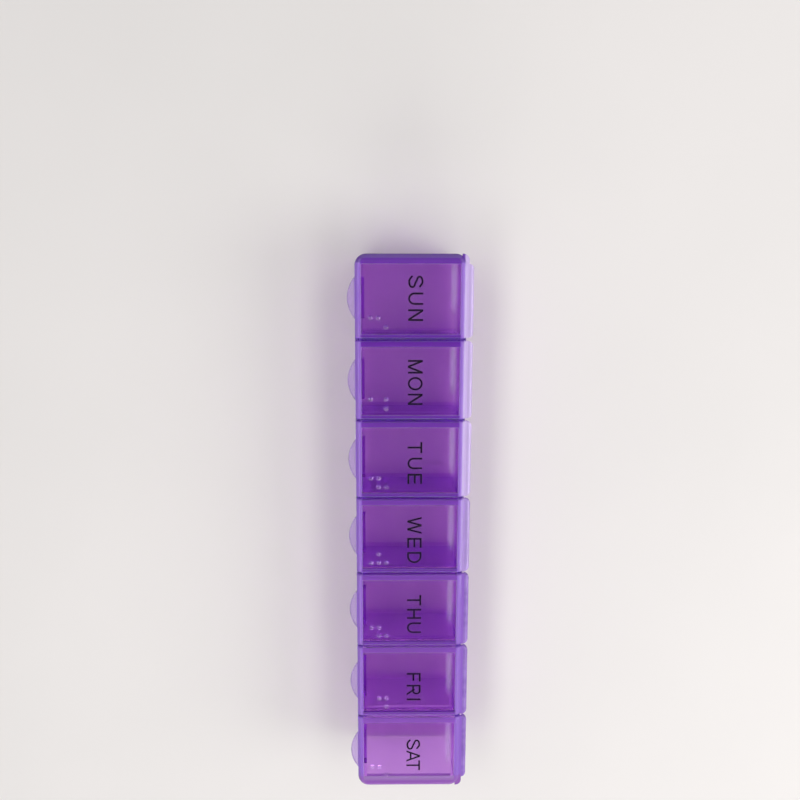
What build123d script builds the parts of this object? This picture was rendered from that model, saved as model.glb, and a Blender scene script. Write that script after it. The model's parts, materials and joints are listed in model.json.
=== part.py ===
from build123d import *
import os

# Weekly pill box: a seven-compartment tray with seven lids, each folding on its own thin hinge strip.
# X runs along the week, -Y is the side with the thumb tabs, +Y the hinge side, and the base is on Z = 0.

os.makedirs("parts", exist_ok=True)

# Driving sizes, in millimetres and degrees
days = ("sun", "mon", "tue", "wed", "thu", "fri", "sat")
pitch = 21.0              # from one day to the next
tray_width = 28.6         # front face to rear face, at the rim
tray_height = 21.8        # base to rim
wall = 1.3                # outer walls
divider = 1.4             # walls between the days
floor_thickness = 1.2
draft = 0.5               # mould draft of the upright walls
end_corner = 3.0          # upright corners at the two ends
base_edge = 0.8           # rounding round the underside
rim_edge = 0.3            # bevel round the outside of the rim
pocket_foot = 0.6         # bevel round a compartment's floor

seat_gap = 0.12           # air between a closed lid and the rim
lid_gap = 0.5             # slit between two lids
lid_thickness = 1.4
lid_shoulder = 1.2        # soft edge of a lid along the outside of the box
lid_edge = 0.5            # small rounding of a lid next to another lid

plug_clearance = 0.35     # between the plug rib under a lid and the walls round it
plug_rib = 0.8            # thickness of the plug rib and of the catch
plug_depth = 1.4
catch_length = 10.5       # tongue behind the thumb tab that grips the front wall
catch_depth = 4.2
ridge_reach = 0.14        # how far the ridge on the tongue stands out
ridge_height = 0.6

tab_length = 10.6         # thumb tab, along the front face
tab_reach = 1.9           # thumb tab, out from the front face
tab_thickness = 0.8
tab_edge = 0.2            # bevel along the tab's arc

leaf_gap = 0.8            # clear notch between the hinge leaves of two days
leaf_corner = 1.5         # rounded rear corners of a leaf
leaf_inset = 2.5          # from the tray's end to the leaf of the first or last day
flange_reach = 0.45       # stiff flanges of tray and lid, out from the rear face
flange_corner = 1.6       # rear corner of the first and last lid's flange
leg_reach = 0.5           # flat legs of the thin strip, from the flanges to the fold
fold_radius = 0.8         # outside of the fold
strip_thickness = 0.3

# Sizes and places that follow from them
day_count = len(days)
tray_length = day_count * pitch - divider + 2 * wall
front_face = -tray_width / 2
rear_face = tray_width / 2
pocket_length = pitch - divider
pocket_width = tray_width - 2 * wall
pocket_depth = tray_height - floor_thickness
lid_bottom = tray_height + seat_gap
plug_length = pocket_length - 2 * plug_clearance
plug_width = pocket_width - 2 * plug_clearance
tab_radius = (tab_length**2 / 4 + tab_reach**2) / (2 * tab_reach)
flange_end = rear_face + flange_reach
fold_y = flange_end + leg_reach
fold_z = tray_height + seat_gap / 2
fold_bottom = fold_z - fold_radius
flange_thickness = fold_radius - seat_gap / 2
leaf_start = rear_face - wall
leaf_depth = fold_y + fold_radius - leaf_start
flange_depth = flange_end - leaf_start
fold_inside = fold_radius - strip_thickness
strip_depth = leg_reach + fold_radius


def day_place(index):
    return (index - (day_count - 1) / 2) * pitch


def day_span(index, gap, inset):
    # From one X to the other: half a gap short of the next day, or an inset from the tray's end
    left = day_place(index) - (pitch - gap) / 2
    right = day_place(index) + (pitch - gap) / 2
    if index == 0:
        left = inset - tray_length / 2
    if index == day_count - 1:
        right = tray_length / 2 - inset
    return left, right


# Tray: one drafted tub with a pocket for each day and a hinge flange behind each pocket
with BuildPart() as tray:
    with BuildSketch(Plane.XY.offset(tray_height)):
        RectangleRounded(tray_length, tray_width, end_corner)
    extrude(amount=-tray_height, taper=draft)
    fillet(tray.faces().sort_by(Axis.Z)[0].edges(), base_edge)
    chamfer(tray.faces().sort_by(Axis.Z)[-1].edges(), rim_edge)
    with BuildSketch(Plane.XY.offset(tray_height)):
        with GridLocations(pitch, pitch, day_count, 1):
            Rectangle(pocket_length, pocket_width)
    extrude(amount=-pocket_depth, taper=draft, mode=Mode.SUBTRACT)
    pocket_floors = tray.faces().filter_by(Axis.Z).group_by(Axis.Z)[1]
    chamfer(pocket_floors.edges(), pocket_foot)
    for index in range(day_count):
        leaf_left, leaf_right = day_span(index, leaf_gap, leaf_inset)
        with BuildSketch(Plane.XY.offset(fold_bottom)):
            with Locations(((leaf_left + leaf_right) / 2, leaf_start + flange_depth / 2)):
                Rectangle(leaf_right - leaf_left, flange_depth)
        extrude(amount=flange_thickness)
tray.part.label = "tray"
export_step(tray.part, "parts/tray.step")


def build_lid(index):
    middle = day_place(index)
    left, right = day_span(index, lid_gap, 0)
    flange_left, flange_right = day_span(index, leaf_gap, 0)
    flange_middle = (flange_left + flange_right) / 2
    first = index == 0
    last = index == day_count - 1
    catch_front = front_face + wall + plug_clearance
    ridge_z = lid_bottom - catch_depth + plug_rib
    with BuildPart() as lid:
        # Flat panel over the compartment
        with BuildSketch(Plane.XY.offset(lid_bottom)) as panel:
            with Locations(((left + right) / 2, 0)):
                Rectangle(right - left, tray_width)
            if first:
                fillet(panel.vertices().group_by(Axis.X)[0], end_corner)
            if last:
                fillet(panel.vertices().group_by(Axis.X)[-1], end_corner)
        extrude(amount=lid_thickness)
        # Soft shoulder along the outside, then a small rounding next to another lid
        rim = lid.faces().sort_by(Axis.Z)[-1].edges()
        ends = rim.filter_by(Axis.Y).sort_by(Axis.X)
        fillet(rim - (ends[1:] if first else ends[:1] if last else ends), lid_shoulder)
        sides = lid.faces().filter_by(Axis.X).sort_by(Axis.X)
        for side in sides[1:] if first else sides[:1] if last else sides:
            fillet(side.edges().sort_by(Axis.Z)[1:], lid_edge)
        # Hinge flange along the rear edge
        with BuildSketch(Plane.XY.offset(lid_bottom)) as flange:
            with Locations((flange_middle, leaf_start + flange_depth / 2)):
                Rectangle(flange_right - flange_left, flange_depth)
            rear_corners = flange.vertices().group_by(Axis.Y)[-1].sort_by(Axis.X)
            if first:
                fillet(rear_corners[0], flange_corner)
            if last:
                fillet(rear_corners[-1], flange_corner)
        extrude(amount=flange_thickness)
        # Thumb tab: a shallow arc in front of the panel
        with BuildSketch(Plane.XY.offset(lid_bottom)):
            with Locations((middle, front_face - tab_reach + tab_radius)):
                Circle(tab_radius)
            with Locations((middle, front_face + (wall - tab_reach) / 2)):
                Rectangle(2 * tab_radius, wall + tab_reach, mode=Mode.INTERSECT)
        extrude(amount=tab_thickness)
        chamfer(lid.edges().group_by(Axis.Y)[0], tab_edge)
        # Plug rib that drops into the compartment's mouth
        with BuildSketch(Plane.XY.offset(lid_bottom)):
            with Locations((middle, 0)):
                Rectangle(plug_length, plug_width)
                Rectangle(plug_length - 2 * plug_rib, plug_width - 2 * plug_rib, mode=Mode.SUBTRACT)
        extrude(amount=-plug_depth)
        # Catch tongue behind the thumb tab, with a ridge that grips the front wall
        with BuildSketch(Plane.YZ.offset(middle - catch_length / 2)):
            with Locations((catch_front + plug_rib / 2, lid_bottom - catch_depth / 2)):
                Rectangle(plug_rib, catch_depth)
            Polygon(
                (catch_front, ridge_z - ridge_height / 2),
                (catch_front, ridge_z + ridge_height / 2),
                (catch_front - ridge_reach, ridge_z),
                align=None,
            )
        extrude(amount=catch_length)
    lid.part.label = f"lid_{days[index]}"
    export_step(lid.part, f"parts/lid_{days[index]}.step")


def build_hinge(index):
    leaf_left, leaf_right = day_span(index, leaf_gap, leaf_inset)
    leaf_length = leaf_right - leaf_left
    with BuildPart() as hinge:
        # Thin strip from the tray's flange, round the fold and back to the lid's flange
        with BuildSketch(Plane.YZ.offset(leaf_left)):
            with Locations((fold_y, fold_z)):
                Circle(fold_radius)
            with Locations((fold_y - leg_reach / 2, fold_z)):
                Rectangle(leg_reach, 2 * fold_radius)
                Rectangle(leg_reach, 2 * fold_inside, mode=Mode.SUBTRACT)
            with Locations((fold_y, fold_z)):
                Circle(fold_inside, mode=Mode.SUBTRACT)
            with Locations((flange_end + strip_depth / 2, fold_z)):
                Rectangle(strip_depth, 2 * fold_radius, mode=Mode.INTERSECT)
        extrude(amount=leaf_length)
        # Rounded ends, in line with the two flanges
        with BuildSketch(Plane.XY.offset(fold_bottom)) as leaf:
            with Locations((leaf_left + leaf_length / 2, leaf_start + leaf_depth / 2)):
                Rectangle(leaf_length, leaf_depth)
            fillet(leaf.vertices().group_by(Axis.Y)[-1], leaf_corner)
        extrude(amount=2 * fold_radius, mode=Mode.INTERSECT)
    hinge.part.label = f"hinge_{days[index]}"
    export_step(hinge.part, f"parts/hinge_{days[index]}.step")


for day in range(day_count):
    build_lid(day)
    build_hinge(day)
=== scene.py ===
import bpy
import json
import math
from mathutils import Matrix, Vector


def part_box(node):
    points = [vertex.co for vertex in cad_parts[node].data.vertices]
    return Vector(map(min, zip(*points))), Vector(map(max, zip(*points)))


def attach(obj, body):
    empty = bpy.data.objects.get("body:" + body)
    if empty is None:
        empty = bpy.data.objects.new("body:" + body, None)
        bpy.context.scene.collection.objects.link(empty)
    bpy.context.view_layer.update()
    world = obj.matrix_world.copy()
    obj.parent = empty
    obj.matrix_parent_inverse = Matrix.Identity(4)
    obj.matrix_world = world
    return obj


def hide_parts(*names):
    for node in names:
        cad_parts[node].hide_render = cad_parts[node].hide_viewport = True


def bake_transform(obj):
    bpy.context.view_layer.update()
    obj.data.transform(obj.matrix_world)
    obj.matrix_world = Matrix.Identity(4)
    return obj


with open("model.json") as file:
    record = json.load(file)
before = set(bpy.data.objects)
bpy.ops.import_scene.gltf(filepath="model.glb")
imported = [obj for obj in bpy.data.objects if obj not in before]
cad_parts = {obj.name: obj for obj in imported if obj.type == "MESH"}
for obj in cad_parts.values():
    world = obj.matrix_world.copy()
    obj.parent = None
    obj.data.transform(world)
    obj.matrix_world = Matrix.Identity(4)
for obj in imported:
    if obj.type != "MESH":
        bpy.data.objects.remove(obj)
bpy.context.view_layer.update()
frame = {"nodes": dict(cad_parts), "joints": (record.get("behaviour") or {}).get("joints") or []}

mm = 0.001
days = ["sun", "mon", "tue", "wed", "thu", "fri", "sat"]
hingeOf = {joint["child"]: joint for joint in frame["joints"]}
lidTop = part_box("lid_sun")[1].z
scene = bpy.context.scene
smoothAngle = 35                 # degrees, past which an edge stays sharp
near = 1e-6                      # metres, within which two points count as one
cutTolerance = 1e-7


def dayCentre(day):
    return hingeOf["lid_" + day]["pos_m"][0]


pitch = dayCentre("tue") - dayCentre("mon")   # from one slit between the lids to the next
halfPitch = pitch / 2 / mm                    # in millimetres, where shares across a slit begin and end


def pickOnly(obj):
    bpy.ops.object.select_all(action="DESELECT")
    obj.select_set(True)
    bpy.context.view_layer.objects.active = obj


def applyPlace(obj):
    pickOnly(obj)
    bpy.ops.object.transform_apply(location=True, rotation=True, scale=True)


def ownCopy(obj, name):
    copy = obj.copy()
    copy.data = obj.data.copy()
    copy.name = name
    copy.data.name = name
    scene.collection.objects.link(copy)
    return copy


def finishPiece(obj, name, material):
    obj.name = name
    obj.data.name = name
    obj.data.materials.clear()
    obj.data.materials.append(material)
    pickOnly(obj)
    bpy.ops.object.shade_smooth_by_angle(angle=math.radians(smoothAngle))


# Materials
noiseBand = (0.35, 0.65)         # where most of a noise's values lie


def newMaterial(name):
    material = bpy.data.materials.new(name)
    material.use_nodes = True
    tree = material.node_tree
    shader = tree.nodes["Principled BSDF"]
    place = tree.nodes.new("ShaderNodeTexCoord")
    return material, tree, shader, place.outputs["Object"]


def addNoise(tree, place, scale, detail, stretch=(1, 1, 1)):
    mapping = tree.nodes.new("ShaderNodeMapping")
    mapping.inputs["Scale"].default_value = stretch
    tree.links.new(place, mapping.inputs["Vector"])
    noise = tree.nodes.new("ShaderNodeTexNoise")
    noise.inputs["Scale"].default_value = scale
    noise.inputs["Detail"].default_value = detail
    tree.links.new(mapping.outputs["Vector"], noise.inputs["Vector"])
    return noise.outputs["Fac"]


def addRange(tree, source, low, high, socket):
    spread = tree.nodes.new("ShaderNodeMapRange")
    spread.inputs["From Min"].default_value = noiseBand[0]
    spread.inputs["From Max"].default_value = noiseBand[1]
    spread.inputs["To Min"].default_value = low
    spread.inputs["To Max"].default_value = high
    tree.links.new(source, spread.inputs["Value"])
    tree.links.new(spread.outputs["Result"], socket)


def addColours(tree, source, dark, light, socket):
    ramp = tree.nodes.new("ShaderNodeValToRGB")
    for stop, position, colour in zip(ramp.color_ramp.elements, noiseBand, (dark, light)):
        stop.position = position
        stop.color = (*colour, 1)
    tree.links.new(source, ramp.inputs["Fac"])
    tree.links.new(ramp.outputs["Color"], socket)


def addBump(tree, source, strength, depth, socket):
    bump = tree.nodes.new("ShaderNodeBump")
    bump.inputs["Strength"].default_value = strength
    bump.inputs["Distance"].default_value = depth
    tree.links.new(source, bump.inputs["Height"])
    tree.links.new(bump.outputs["Normal"], socket)


def addTint(tree, look):
    # colour that deepens with the way through the plastic
    depth = tree.nodes.new("ShaderNodeVolumeAbsorption")
    depth.inputs["Color"].default_value = (*look["tint"], 1)
    depth.inputs["Density"].default_value = look["tintDensity"]
    tree.links.new(depth.outputs["Volume"], tree.nodes["Material Output"].inputs["Volume"])


def joinValues(tree, operation, first, second):
    join = tree.nodes.new("ShaderNodeMath")
    join.operation = operation
    tree.links.new(first, join.inputs[0])
    tree.links.new(second, join.inputs[1])
    return join.outputs["Value"]


def addSteps(tree, source, steps):
    # values along one coordinate: pairs of millimetres and value, joined by straight lines
    first, last = steps[0][0], steps[-1][0]
    spread = tree.nodes.new("ShaderNodeMapRange")
    spread.inputs["From Min"].default_value = first * mm
    spread.inputs["From Max"].default_value = last * mm
    tree.links.new(source, spread.inputs["Value"])
    ramp = tree.nodes.new("ShaderNodeValToRGB")
    stops = ramp.color_ramp.elements
    while len(stops) < len(steps):
        stops.new(1)
    for stop, (where, value) in zip(stops, steps):
        stop.position = (where - first) / (last - first)
        stop.color = (value, value, value, 1)
    tree.links.new(spread.outputs["Result"], ramp.inputs["Fac"])
    return ramp.outputs["Color"]


def addFade(tree, source, start, end, low, high):
    fade = tree.nodes.new("ShaderNodeMapRange")
    fade.interpolation_type = "SMOOTHSTEP"
    fade.inputs["From Min"].default_value = start
    fade.inputs["From Max"].default_value = end
    fade.inputs["To Min"].default_value = low
    fade.inputs["To Max"].default_value = high
    tree.links.new(source, fade.inputs["Value"])
    return fade.outputs["Result"]


# Clear violet plastic, tinted by its depth
clearPlastic = {
    "dark": (0.96, 0.93, 0.98),
    "light": (0.99, 0.975, 0.995),
    "tint": (0.69, 0.03, 0.925),
    "tintDensity": 270,          # per metre
    # refraction is low, so that the thin walls don't shut the light in; the coat carries the polish
    "tray": {"ior": 1.09, "gloss": 0.35, "clear": 0.93},
    "lid": {"ior": 1.2, "gloss": 0.7, "clear": 1.0},
    "dot": {"ior": 1.42, "gloss": 0.3, "clear": 1.0},
    "slitGloss": 0.07,           # polish of the lids beside the slits between them
    "slitReach": (0.5, 0.8),     # millimetres from a slit, where the polish begins to return and is back
    "glossRoughness": 0.04,
    "roughness": (0.01, 0.04),
    "cloudScale": 160,           # slow drift of the melt
    "cloudDetail": 3,
    "cloudStretch": (0.5, 1, 1),
    "grainScale": 1400,          # fine haze of the mould's polish
    "grainDetail": 4,
    "grainStrength": 0.15,
    "grainDepth": 0.004 * mm,
}


def slitBand(before, after):
    # shares on the two sides of a slit, over one day; the slit itself stays clear
    return [
        (-halfPitch, 0), (-1.3, 0), (-1.2, before), (-0.5, before), (-0.4, 0),
        (0.4, 0), (0.5, after), (1.85, after), (1.95, 0), (halfPitch, 0),
    ]


# Painted light and shade by place: a colour, what a full share leaves of the transmission, and shares along
# an axis or across a slit, as pairs of millimetres and share. The shares of one glow are multiplied.
lidPlate = [(21.8, 0), (21.9, 1), (24, 1)]   # heights of a lid's plate, without the rib under it

# Painted light and shade on the lids' outer edges, as colour set by place
# Front and rear edges, the thumb tabs less so: painted light, a paler milky colour for the reflection and
# light caught in the rounded edges
paintedEdgeLight = {
    "colour": (0.40, 0.19, 0.74),
    "clear": 0.35,
    "Y": [(-17, 0.38), (-14.4, 0.38), (-14.2, 1), (-12.8, 1), (-12.65, 0), (12.65, 0), (12.8, 1), (17, 1)],
}
# Last end: painted light, a paler milky band where more light comes in through the end
paintedLastEndLight = {
    "colour": (0.39, 0.15, 0.56),
    "clear": 0.35,
    "X": [(70.8, 0), (70.85, 0.7), (72.8, 1), (75, 1)],
    "Z": lidPlate,
}
# First end: painted shade, a deeper violet band
paintedFirstEndShade = {
    "colour": (0.19, 0.06, 0.45),
    "clear": 0.35,
    "X": [(-75, 0.9), (-71.9, 0.9), (-71.85, 0)],
    "Z": lidPlate,
}

# Painted shade: darker bands beside each slit, made paler towards the end of the week by painted light
paintedSlitShade = {
    "colour": (0.18, 0.035, 0.44),
    "clear": 0.4,
    "slit": slitBand(1, 1),
    "Z": lidPlate,
}
# Painted light: the bands beside the slits paler towards the end of the week, where more light falls
paintedLateSlitLight = {
    "colour": (0.33, 0.13, 0.58),
    "clear": 0.4,
    "slit": slitBand(0.4, 1),
    "X": [(-53, 0), (53, 1)],
    "Z": lidPlate,
}

# Painted light: a pale streak over the foot of the rear wall, in the first half of each lid
paintedRearStreak = {
    "colour": (0.40, 0.19, 0.74),
    "clear": 0.35,
    "slit": [(-halfPitch, 1), (-10, 1), (-6, 0), (1.5, 0), (3, 1), (halfPitch, 1)],
    "Y": [(9.8, 0), (10.9, 0.26), (12.0, 0)],
}

# Painted light: the catch tongue under each lid a little milky and paler
paintedCatchLight = {
    "colour": (0.75, 0.45, 0.95),
    "clear": 0.75,
    "Y": [(-13.2, 0), (-13.0, 1), (-11.8, 1), (-11.6, 0)],
    "Z": [(17, 1), (20.0, 1), (20.4, 0)],
}

# Paler along the fold: partly stress whitening, partly a painted highlight, strongest at the start of the
# week
whiteningAndHighlight = {
    "colour": (0.82, 0.66, 1.0),
    "clear": 1,
    "Y": [(13.5, 0), (13.9, 1), (17, 1)],
    "X": [(-75, 1), (-10.7, 1), (-10.2, 0.5), (10.2, 0.5), (10.7, 0), (75, 0)],
}

# Tray: painted light, the inside of the rear wall a little milky and paler
paintedRearWallLight = {
    "colour": (0.95, 0.85, 1.0),
    "clear": 0.7,
    "Y": [(12.6, 0), (12.75, 1), (13.05, 1), (13.15, 0)],
    "Z": [(1.0, 0), (2.0, 1), (20.0, 1), (21.0, 0)],
}

# Tray: painted shade, the dividers and the two ends deeper in colour, less so towards the end of the week
# where more light falls
paintedDividerShade = {
    "colour": (0.74, 0.50, 0.95),
    "clear": 1,
    "X": [(-75, 0.9), (-12, 0.9), (12, 0.75), (32, 0.4), (53, 0.15), (75, 0.3)],
    "slit": [(-halfPitch, 0), (-1.05, 0), (-1.0, 1), (1.0, 1), (1.05, 0), (halfPitch, 0)],
    "Z": [(0, 0), (1.3, 0), (1.9, 1), (21.3, 1), (21.5, 0)],
}

lidGlows = [
    paintedSlitShade, paintedLateSlitLight, paintedRearStreak, paintedEdgeLight,
    paintedLastEndLight, paintedFirstEndShade, paintedCatchLight, whiteningAndHighlight,
]
hingeGlows = [whiteningAndHighlight]
trayGlows = [paintedRearWallLight, paintedDividerShade]


def makeClearPlastic(name, look, kind):
    material, tree, shader, place = newMaterial(name)
    shader.inputs["Transmission Weight"].default_value = look[kind]["clear"]
    shader.inputs["IOR"].default_value = look[kind]["ior"]
    shader.inputs["Coat Weight"].default_value = look[kind]["gloss"]
    shader.inputs["Coat Roughness"].default_value = look["glossRoughness"]
    cloud = addNoise(tree, place, look["cloudScale"], look["cloudDetail"], look["cloudStretch"])
    grain = addNoise(tree, place, look["grainScale"], look["grainDetail"])
    addColours(tree, cloud, look["dark"], look["light"], shader.inputs["Base Color"])
    addRange(tree, grain, *look["roughness"], shader.inputs["Roughness"])
    addBump(tree, grain, look["grainStrength"], look["grainDepth"], shader.inputs["Normal"])
    addTint(tree, look)
    return material


def addPlaces(material):
    # the three coordinates of a point, and how far it lies past the nearest slit
    tree = material.node_tree
    split = tree.nodes.new("ShaderNodeSeparateXYZ")
    tree.links.new(tree.nodes["Texture Coordinate"].outputs["Object"], split.inputs["Vector"])
    wrap = tree.nodes.new("ShaderNodeMath")
    wrap.operation = "WRAP"
    tree.links.new(split.outputs["X"], wrap.inputs[0])
    wrap.inputs[1].default_value = pitch
    wrap.inputs[2].default_value = 0
    shift = tree.nodes.new("ShaderNodeMath")
    shift.operation = "SUBTRACT"
    tree.links.new(wrap.outputs["Value"], shift.inputs[0])
    shift.inputs[1].default_value = pitch / 2
    places = {axis: split.outputs[axis] for axis in "XYZ"}
    places["slit"] = shift.outputs["Value"]
    return places


def addGlow(material, places, glow):
    # mixes the colour in and the transmission down
    tree = material.node_tree
    shader = tree.nodes["Principled BSDF"]
    shares = [addSteps(tree, places[axis], glow[axis]) for axis in places if axis in glow]
    amount = shares[0]
    for share in shares[1:]:
        amount = joinValues(tree, "MULTIPLY", amount, share)
    weight = shader.inputs["Transmission Weight"]
    if glow["clear"] < 1:
        clear = tree.nodes.new("ShaderNodeMix")
        tree.links.new(amount, clear.inputs["Factor"])
        clear.inputs["A"].default_value = weight.default_value
        clear.inputs["B"].default_value = glow["clear"]
        if weight.is_linked:
            tree.links.new(weight.links[0].from_socket, clear.inputs["A"])
        tree.links.new(clear.outputs["Result"], weight)
    plain = shader.inputs["Base Color"].links[0].from_socket
    mix = tree.nodes.new("ShaderNodeMix")
    mix.data_type = "RGBA"
    tree.links.new(amount, mix.inputs["Factor"])
    tree.links.new(plain, mix.inputs["A"])
    mix.inputs["B"].default_value = (*glow["colour"], 1)
    tree.links.new(mix.outputs["Result"], shader.inputs["Base Color"])


def addGlows(material, glows):
    places = addPlaces(material)
    for glow in glows:
        addGlow(material, places, glow)


def dullSlits(material, look):
    # less polish beside the slits between the lids, so that they stay dark lines
    tree = material.node_tree
    polish, dull = look["lid"]["gloss"], look["slitGloss"]
    inner, outer = look["slitReach"]
    steps = [
        (-halfPitch, polish), (-outer, polish), (-inner, dull),
        (inner, dull), (outer, polish), (halfPitch, polish),
    ]
    coat = tree.nodes["Principled BSDF"].inputs["Coat Weight"]
    tree.links.new(addSteps(tree, addPlaces(material)["slit"], steps), coat)


# Thin folded strip: the same plastic, paler where it is stretched
foldPlastic = {
    "dark": (0.40, 0.21, 0.72),
    "light": (0.52, 0.31, 0.84),
    "tint": (0.65, 0.142, 0.783),
    "tintDensity": 220,
    "ior": 1.49,
    "transmission": 0.45,
    "roughness": (0.08, 0.2),
    "streakScale": 500,          # stretch marks across the fold
    "streakDetail": 3,
    "streakStretch": (1, 0.15, 0.15),
    "streakStrength": 0.3,
    "streakDepth": 0.01 * mm,
}


def makeFoldPlastic(name, look):
    material, tree, shader, place = newMaterial(name)
    shader.inputs["Transmission Weight"].default_value = look["transmission"]
    shader.inputs["IOR"].default_value = look["ior"]
    streak = addNoise(tree, place, look["streakScale"], look["streakDetail"], look["streakStretch"])
    addColours(tree, streak, look["dark"], look["light"], shader.inputs["Base Color"])
    addRange(tree, streak, *look["roughness"], shader.inputs["Roughness"])
    addBump(tree, streak, look["streakStrength"], look["streakDepth"], shader.inputs["Normal"])
    addTint(tree, look)
    return material


# Black pad-printed ink, slightly uneven
printInk = {
    "dark": (0.004, 0.004, 0.005),
    "light": (0.016, 0.014, 0.018),
    "roughness": (0.38, 0.6),
    "specular": 0.1,
    "speckScale": 3000,
    "speckDetail": 3,
    "speckStrength": 0.4,
    "speckDepth": 0.003 * mm,
}


def makePrintInk(name, look):
    material, tree, shader, place = newMaterial(name)
    speck = addNoise(tree, place, look["speckScale"], look["speckDetail"])
    addColours(tree, speck, look["dark"], look["light"], shader.inputs["Base Color"])
    addRange(tree, speck, *look["roughness"], shader.inputs["Roughness"])
    addBump(tree, speck, look["speckStrength"], look["speckDepth"], shader.inputs["Normal"])
    shader.inputs["Specular IOR Level"].default_value = look["specular"]
    return material


# Pale table top that runs into a pale backdrop
backdrop = {
    "colour": (0.93, 0.96, 1.0),
    "seen": 0.72,                # strength in the picture
    "top": 0.08,                 # strength as light: a dim strip overhead keeps the flat lids clear of glare
    "side": 0.35,
    "stripEdge": (0.12, 0.30),   # across a direction, where the strip ends
    "stripFoot": (0.45, 0.65),   # height of a direction, where the strip begins
}

floorPaint = {
    "dark": (0.80, 0.765, 0.74),
    "light": (0.84, 0.80, 0.775),
    "roughness": (0.55, 0.7),
    "specular": 0.05,
    "mottleScale": 6,
    "mottleDetail": 4,
    "fade": (0.35, 1.1),         # metres from the middle, where the far floor runs into the backdrop
}


def addSeenRays(tree):
    # one for the rays that show the backdrop, zero for those that only carry light
    rays = tree.nodes.new("ShaderNodeLightPath").outputs
    mirrored = joinValues(tree, "MAXIMUM", rays["Is Glossy Ray"], rays["Is Transmission Ray"])
    return joinValues(tree, "MAXIMUM", rays["Is Camera Ray"], mirrored)


def makeFloorPaint(name, look):
    material, tree, shader, place = newMaterial(name)
    mottle = addNoise(tree, place, look["mottleScale"], look["mottleDetail"])
    addColours(tree, mottle, look["dark"], look["light"], shader.inputs["Base Color"])
    addRange(tree, mottle, *look["roughness"], shader.inputs["Roughness"])
    shader.inputs["Specular IOR Level"].default_value = look["specular"]
    distance = tree.nodes.new("ShaderNodeVectorMath")
    distance.operation = "LENGTH"
    tree.links.new(place, distance.inputs[0])
    far = addFade(tree, distance.outputs["Value"], *look["fade"], 0, 1)
    seen = joinValues(tree, "MULTIPLY", far, addSeenRays(tree))
    haze = tree.nodes.new("ShaderNodeEmission")
    haze.inputs["Color"].default_value = (*backdrop["colour"], 1)
    haze.inputs["Strength"].default_value = backdrop["seen"]
    mix = tree.nodes.new("ShaderNodeMixShader")
    tree.links.new(seen, mix.inputs["Fac"])
    tree.links.new(shader.outputs["BSDF"], mix.inputs[1])
    tree.links.new(haze.outputs["Emission"], mix.inputs[2])
    tree.links.new(mix.outputs["Shader"], tree.nodes["Material Output"].inputs["Surface"])
    return material


trayPlastic = makeClearPlastic("clearTrayPlastic", clearPlastic, "tray")
lidPlastic = makeClearPlastic("clearLidPlastic", clearPlastic, "lid")
dotPlastic = makeClearPlastic("clearDotPlastic", clearPlastic, "dot")
hingePlastic = makeFoldPlastic("foldedHingePlastic", foldPlastic)
addGlows(trayPlastic, trayGlows)
addGlows(lidPlastic, lidGlows)
addGlows(hingePlastic, hingeGlows)
dullSlits(lidPlastic, clearPlastic)
dayInk = makePrintInk("dayInk", printInk)
palePaint = makeFloorPaint("paleFloorPaint", floorPaint)


def dressNode(name, material):
    for slot in frame["nodes"][name].material_slots:
        slot.material = material


dressNode("tray", trayPlastic)
for day in days:
    dressNode("lid_" + day, lidPlastic)
print("plastic, ink and floor paint made")


# Hinge strips: a leg off the tray, half round the fold, a leg onto the lid
foldShape = {
    "corner": 1.5 * mm,          # rounded ends, seen from above
    "thickness": 0.3 * mm,
    "seam": 0.02 * mm,           # hairline to each flange
    "lengthCuts": 59,
    "foldSteps": 20,
}


def selectVerts(obj, test):
    bpy.ops.mesh.select_all(action="DESELECT")
    bpy.ops.object.mode_set(mode="OBJECT")
    for vert in obj.data.vertices:
        vert.select = test(vert.co)
    bpy.ops.object.mode_set(mode="EDIT")


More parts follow.
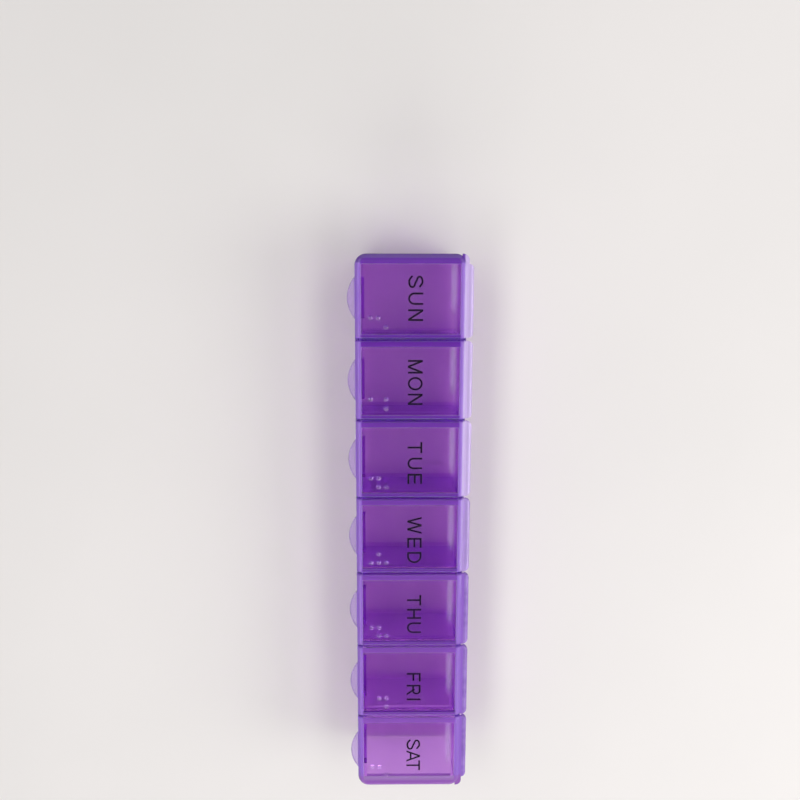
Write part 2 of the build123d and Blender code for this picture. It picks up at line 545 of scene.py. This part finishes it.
def makeStrip(day, shape):
    low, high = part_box("hinge_" + day)
    radius = (high.z - low.z) / 2
    foldY = high.y - radius
    foldZ = (low.z + high.z) / 2
    middleX = (low.x + high.x) / 2
    halfLength = (high.x - low.x) / 2
    legStart = low.y + shape["seam"]
    legLength = foldY - legStart
    # lower leg
    bpy.ops.object.select_all(action="DESELECT")
    bpy.ops.mesh.primitive_plane_add(size=1, location=(middleX, (legStart + foldY) / 2, low.z))
    strip = bpy.context.object
    strip.scale = (2 * halfLength, legLength, 1)
    applyPlace(strip)
    bpy.ops.object.mode_set(mode="EDIT")
    bpy.ops.mesh.select_mode(type="EDGE")
    bpy.ops.mesh.select_all(action="DESELECT")
    bpy.ops.object.mode_set(mode="OBJECT")
    for edge in strip.data.edges:
        ends = [strip.data.vertices[i].co for i in edge.vertices]
        edge.select = abs(ends[0].y - ends[1].y) < near
    bpy.ops.object.mode_set(mode="EDIT")
    bpy.ops.mesh.subdivide(number_cuts=shape["lengthCuts"])
    # half round the fold
    bpy.ops.mesh.select_mode(type="VERT")
    selectVerts(strip, lambda co: co.y > foldY - near)
    bpy.ops.mesh.spin(steps=shape["foldSteps"], angle=math.pi,
                      center=(middleX, foldY, foldZ), axis=(-1, 0, 0))
    # upper leg
    selectVerts(strip, lambda co: co.z > high.z - near)
    bpy.ops.mesh.extrude_region_move(TRANSFORM_OT_translate={"value": (0, -legLength, 0)})
    bpy.ops.mesh.select_all(action="SELECT")
    bpy.ops.mesh.remove_doubles(threshold=near)
    bpy.ops.mesh.normals_make_consistent(inside=False)
    bpy.ops.object.mode_set(mode="OBJECT")
    # draw the ends in along the leaf's rounded corners
    cornerStart = high.y - shape["corner"]
    for vert in strip.data.vertices:
        rise = max(0, vert.co.y - cornerStart)
        inset = shape["corner"] - math.sqrt(max(0, shape["corner"] ** 2 - rise ** 2))
        vert.co.x = middleX + (vert.co.x - middleX) * (halfLength - inset) / halfLength
    solid = strip.modifiers.new("wall", "SOLIDIFY")
    solid.thickness = shape["thickness"]
    solid.offset = -1
    pickOnly(strip)
    bpy.ops.object.modifier_apply(modifier=solid.name)
    finishPiece(strip, "strip_" + day, hingePlastic)
    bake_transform(strip)
    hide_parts("hinge_" + day)


for day in days:
    makeStrip(day, foldShape)
print("hinge strips folded")


# Day marks: plain capitals drawn as ink strokes on each lid
markShape = {
    "foot": -0.70 * mm,          # Y of the baseline
    "height": 3.83 * mm,
    "stroke": 0.49 * mm,
    "inkHeight": 0.03 * mm,
    "strokeRounding": 2,
    "curveSteps": 10,
    "ringPoints": 48,
    "kern": {"AT": -0.6 * mm},
    # from and to along X, from the middle of the day
    "span": {
        "sun": (-5.80, 5.74),
        "mon": (-5.30, 6.42),
        "tue": (-4.77, 6.57),
        "wed": (-5.36, 7.51),
        "thu": (-4.38, 6.63),
        "fri": (-2.57, 5.52),
        "sat": (-3.60, 6.00),
    },
    # letter widths, in letter heights
    "width": {
        "A": 0.89, "D": 0.81, "E": 0.72, "F": 0.66, "H": 0.75, "I": 0.12, "M": 0.92,
        "N": 0.77, "O": 0.91, "R": 0.80, "S": 0.85, "T": 0.78, "U": 0.81, "W": 1.22,
    },
}


def arc(x, y, radiusX, radiusY, start, end, steps=16):
    points = []
    for step in range(steps + 1):
        angle = math.radians(start + (end - start) * step / steps)
        points.append((x + radiusX * math.cos(angle), y + radiusY * math.sin(angle)))
    return points


def letterStrokes(letter, width, height, half, ringPoints):
    # strokes run along their middle line; smooth ones bend through their points
    left, right, bottom, top = half, width - half, half, height - half
    midX, midY = width / 2, height / 2
    stem = [(left, 0), (left, height)]
    post = [(right, 0), (right, height)]
    straight, smooth, closed = [], [], []
    if letter == "A":
        barY = 0.31 * height
        straight = [[(left, 0), (midX, height)], [(midX, height), (right, 0)],
                    [(0.2 * width, barY), (0.8 * width, barY)]]
    if letter == "D":
        turn = 0.42 * width
        bowl = arc(turn, midY, right - turn, midY - half, 90, -90)
        straight = [stem, [(left, top), (turn, top)] + bowl + [(left, bottom)]]
    if letter == "E":
        straight = [stem, [(left, top), (width, top)], [(left, midY), (0.94 * width, midY)],
                    [(left, bottom), (width, bottom)]]
    if letter == "F":
        barY = 0.48 * height
        straight = [stem, [(left, top), (width, top)], [(left, barY), (0.92 * width, barY)]]
    if letter == "H":
        straight = [stem, post, [(left, midY), (right, midY)]]
    if letter == "I":
        straight = [stem]
    if letter == "M":
        straight = [stem, [(left, height), (midX, 0)], [(midX, 0), (right, height)], post]
    if letter == "N":
        straight = [stem, [(left, height), (right, 0)], post]
    if letter == "O":
        closed = [arc(midX, midY, midX - half, midY - half, 0, 360 - 360 / ringPoints, ringPoints - 1)]
    if letter == "R":
        turn, drop = 0.6 * width, 0.235 * height
        waist = top - 2 * drop
        bowl = arc(turn, top - drop, 0.93 * width - half - turn, drop, 90, -90)
        straight = [stem, [(left, top)] + bowl + [(left, waist)], [(0.52 * width, waist), (right, 0)]]
    if letter == "S":
        smooth = [[(0.93 * width, 0.75 * height), (0.51 * width, top), (0.13 * width, 0.745 * height),
                   (midX, 0.52 * height), (right, 0.27 * height), (0.49 * width, bottom),
                   (0.06 * width, 0.27 * height)]]
    if letter == "T":
        straight = [[(0, top), (width, top)], [(midX, 0), (midX, height)]]
    if letter == "U":
        bend = midX - half
        bowl = arc(midX, bottom + bend, bend, bend, 180, 360)
        straight = [[(left, height)] + bowl + [(right, height)]]
    if letter == "W":
        footLeft, footRight = 0.27 * width, 0.73 * width
        straight = [[(left, height), (footLeft, 0)], [(footLeft, 0), (midX, height)],
                    [(midX, height), (footRight, 0)], [(footRight, 0), (right, height)]]
    return straight, smooth, closed


def lengthened(points, extra):
    # a slanted two-point stroke runs on past both ends, to be cut off level
    first, last = Vector(points[0]), Vector(points[-1])
    if len(points) > 2 or abs(first.x - last.x) < near or abs(first.y - last.y) < near:
        return points
    along = (last - first).normalized() * extra
    return [first - along, last + along]


def addStrokes(curve, letter, x, y, shape):
    half = shape["stroke"] / 2
    width = shape["width"][letter] * shape["height"]
    straight, smooth, closed = letterStrokes(letter, width, shape["height"], half, shape["ringPoints"])
    for points in straight + closed:
        points = lengthened(points, shape["stroke"])
        spline = curve.splines.new("POLY")
        spline.points.add(len(points) - 1)
        for point, place in zip(spline.points, points):
            point.co = (x + place[0], y + place[1], 0, 1)
        spline.use_cyclic_u = points in closed
    for points in smooth:
        spline = curve.splines.new("BEZIER")
        spline.bezier_points.add(len(points) - 1)
        for point, place in zip(spline.bezier_points, points):
            point.co = (x + place[0], y + place[1], 0)
            point.handle_left_type = "AUTO"
            point.handle_right_type = "AUTO"


def makeMark(day, shape):
    word = day.upper()
    left, right = [dayCentre(day) + end * mm for end in shape["span"][day]]
    widths = [shape["width"][letter] * shape["height"] for letter in word]
    kerns = [shape["kern"].get(word[i:i + 2], 0) for i in range(len(word) - 1)]
    gap = (right - left - sum(widths) - sum(kerns)) / (len(word) - 1)
    curve = bpy.data.curves.new("mark", "CURVE")
    curve.dimensions = "3D"
    curve.bevel_depth = shape["stroke"] / 2
    curve.bevel_resolution = shape["strokeRounding"]
    curve.use_fill_caps = True
    curve.resolution_u = shape["curveSteps"]
    x = left
    for i, letter in enumerate(word):
        addStrokes(curve, letter, x, shape["foot"], shape)
        x += widths[i] + gap + (kerns[i] if i < len(kerns) else 0)
    mark = bpy.data.objects.new("mark", curve)
    scene.collection.objects.link(mark)
    pickOnly(mark)
    bpy.ops.object.convert(target="MESH")
    mark = bpy.context.object
    # cut the slanted strokes off level with the foot and the top of the letters
    bpy.ops.object.mode_set(mode="EDIT")
    for edgeY, outward in ((shape["foot"], -1), (shape["foot"] + shape["height"], 1)):
        bpy.ops.mesh.select_all(action="SELECT")
        bpy.ops.mesh.bisect(plane_co=(0, edgeY, 0), plane_no=(0, outward, 0), use_fill=True,
                            clear_outer=True, threshold=cutTolerance)
    bpy.ops.mesh.select_all(action="SELECT")
    bpy.ops.mesh.normals_make_consistent(inside=False)
    bpy.ops.object.mode_set(mode="OBJECT")
    # flatten the round strokes to a film of ink on the lid
    mark.scale.z = shape["inkHeight"] / shape["stroke"]
    mark.location.z = lidTop
    applyPlace(mark)
    finishPiece(mark, "mark_" + day, dayInk)
    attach(mark, "lid_" + day)


for day in days:
    makeMark(day, markShape)
print("day marks printed")


# Raised reading dots: one six-dot cell on each lid, with the day's first letter
dotShape = {
    "width": 1.3 * mm,
    "height": 0.35 * mm,
    "sunk": 0.02 * mm,
    "segments": 24,
    "rings": 32,
    "column": (5.0 * mm, 7.4 * mm),              # X from the middle of the day
    "row": (-6.3 * mm, -8.3 * mm, -10.3 * mm),   # Y of the top, middle and bottom dots
    "cell": {"s": (2, 3, 4), "m": (1, 3, 4), "t": (2, 3, 4, 5), "w": (2, 4, 5, 6), "f": (1, 2, 4)},
}


def makeDome(shape):
    radius = (shape["width"] ** 2 / 4 + shape["height"] ** 2) / (2 * shape["height"])
    bpy.ops.object.select_all(action="DESELECT")
    bpy.ops.mesh.primitive_uv_sphere_add(segments=shape["segments"], ring_count=shape["rings"], radius=radius,
                                         location=(0, 0, lidTop + shape["height"] - radius))
    dome = bpy.context.object
    applyPlace(dome)
    bpy.ops.object.mode_set(mode="EDIT")
    bpy.ops.mesh.select_all(action="SELECT")
    bpy.ops.mesh.bisect(plane_co=(0, 0, lidTop - shape["sunk"]), plane_no=(0, 0, -1), use_fill=True,
                        clear_outer=True, threshold=cutTolerance)
    bpy.ops.object.mode_set(mode="OBJECT")
    return dome


def makeDots(day, shape, dome):
    dots = []
    for number in shape["cell"][day[0]]:
        dot = ownCopy(dome, "dot")
        column, row = divmod(number - 1, len(shape["row"]))
        dot.location = (dayCentre(day) + shape["column"][column], shape["row"][row], 0)
        dots.append(dot)
    bpy.ops.object.select_all(action="DESELECT")
    for dot in dots:
        dot.select_set(True)
    bpy.context.view_layer.objects.active = dots[0]
    bpy.ops.object.join()
    applyPlace(dots[0])
    finishPiece(dots[0], "dots_" + day, dotPlastic)
    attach(dots[0], "lid_" + day)


dome = makeDome(dotShape)
for day in days:
    makeDots(day, dotShape, dome)
bpy.data.objects.remove(dome)
print("reading dots raised")


# Floor, light and camera
stage = {
    "floorSize": 8.0,
    "floorDrop": 0.2 * mm,       # hairline under the base
    "bounces": 32,               # enough to see through all the walls of the box
    "diffuseBounces": 8,
    "lamps": [
        # name, place, aim, size along and across, watts
        ("leftSoftbox", (0, -0.38, 0.80), (0, 0, 0.02), (1.2, 0.25), 2.8),
        ("rightSoftbox", (0, 0.38, 0.80), (0, 0, 0.02), (1.2, 0.25), 2.15),
        ("hingeLamp", (0.10, 0.55, 0.36), (0, 0.015, 0.02), (0.36, 0.34), 1.7),
        ("endSoftbox", (0.80, 0, 0.40), (0.07, 0, 0.01), (0.60, 0.40), 2.4),
    ],
}


def makeFloor():
    bpy.ops.object.select_all(action="DESELECT")
    bpy.ops.mesh.primitive_plane_add(size=stage["floorSize"], location=(0, 0, -stage["floorDrop"]))
    floor = bpy.context.object
    floor.name = "floor"
    applyPlace(floor)
    floor.data.materials.append(palePaint)


def makeLamp(name, place, aim, size, watts):
    data = bpy.data.lights.new(name, "AREA")
    data.shape = "RECTANGLE"
    data.size, data.size_y = size
    data.energy = watts
    lamp = bpy.data.objects.new(name, data)
    scene.collection.objects.link(lamp)
    lamp.location = place
    lamp.rotation_euler = (Vector(aim) - Vector(place)).to_track_quat("-Z", "Y").to_euler()


def makeSky():
    world = bpy.data.worlds.new("paleSky")
    world.use_nodes = True
    tree = world.node_tree
    background = tree.nodes["Background"]
    background.inputs["Color"].default_value = (*backdrop["colour"], 1)
    place = tree.nodes.new("ShaderNodeTexCoord")
    split = tree.nodes.new("ShaderNodeSeparateXYZ")
    tree.links.new(place.outputs["Generated"], split.inputs["Vector"])
    across = tree.nodes.new("ShaderNodeMath")
    across.operation = "ABSOLUTE"
    tree.links.new(split.outputs["Y"], across.inputs[0])
    middle = addFade(tree, across.outputs["Value"], *backdrop["stripEdge"], 1, 0)
    overhead = addFade(tree, split.outputs["Z"], *backdrop["stripFoot"], 0, 1)
    side = addFade(tree, addSeenRays(tree), 0, 1, backdrop["side"], backdrop["seen"])
    strength = tree.nodes.new("ShaderNodeMix")
    tree.links.new(joinValues(tree, "MULTIPLY", middle, overhead), strength.inputs["Factor"])
    tree.links.new(side, strength.inputs["A"])
    strength.inputs["B"].default_value = backdrop["top"]
    tree.links.new(strength.outputs["Result"], background.inputs["Strength"])
    scene.world = world


view = {
    "place": (-72.6 * mm, -5.29 * mm, 224.37 * mm),
    "aim": (-36.89 * mm, -2.71 * mm, 23.32 * mm),
    "roll": 0.12,                # degrees
    "lens": 35.58,
    "sensor": 36,
    "nearest": 10 * mm,
}


def makeCamera():
    data = bpy.data.cameras.new("camera")
    data.lens = view["lens"]
    data.sensor_width = view["sensor"]
    data.clip_start = view["nearest"]
    camera = bpy.data.objects.new("camera", data)
    scene.collection.objects.link(camera)
    forward = (Vector(view["aim"]) - Vector(view["place"])).normalized()
    right = forward.cross(Vector((-1, 0, 0))).normalized()
    upward = right.cross(forward)
    roll = Matrix.Rotation(math.radians(view["roll"]), 3, "Z")
    turn = Matrix((right, upward, -forward)).transposed() @ roll
    camera.matrix_world = Matrix.Translation(view["place"]) @ turn.to_4x4()
    scene.camera = camera


makeFloor()
for lamp in stage["lamps"]:
    makeLamp(*lamp)
makeSky()
makeCamera()
scene.view_settings.view_transform = "Standard"
scene.cycles.max_bounces = stage["bounces"]
scene.cycles.diffuse_bounces = stage["diffuseBounces"]
scene.cycles.glossy_bounces = stage["bounces"]
scene.cycles.transmission_bounces = stage["bounces"]
scene.cycles.transparent_max_bounces = stage["bounces"]
print("floor, lamps and camera set")
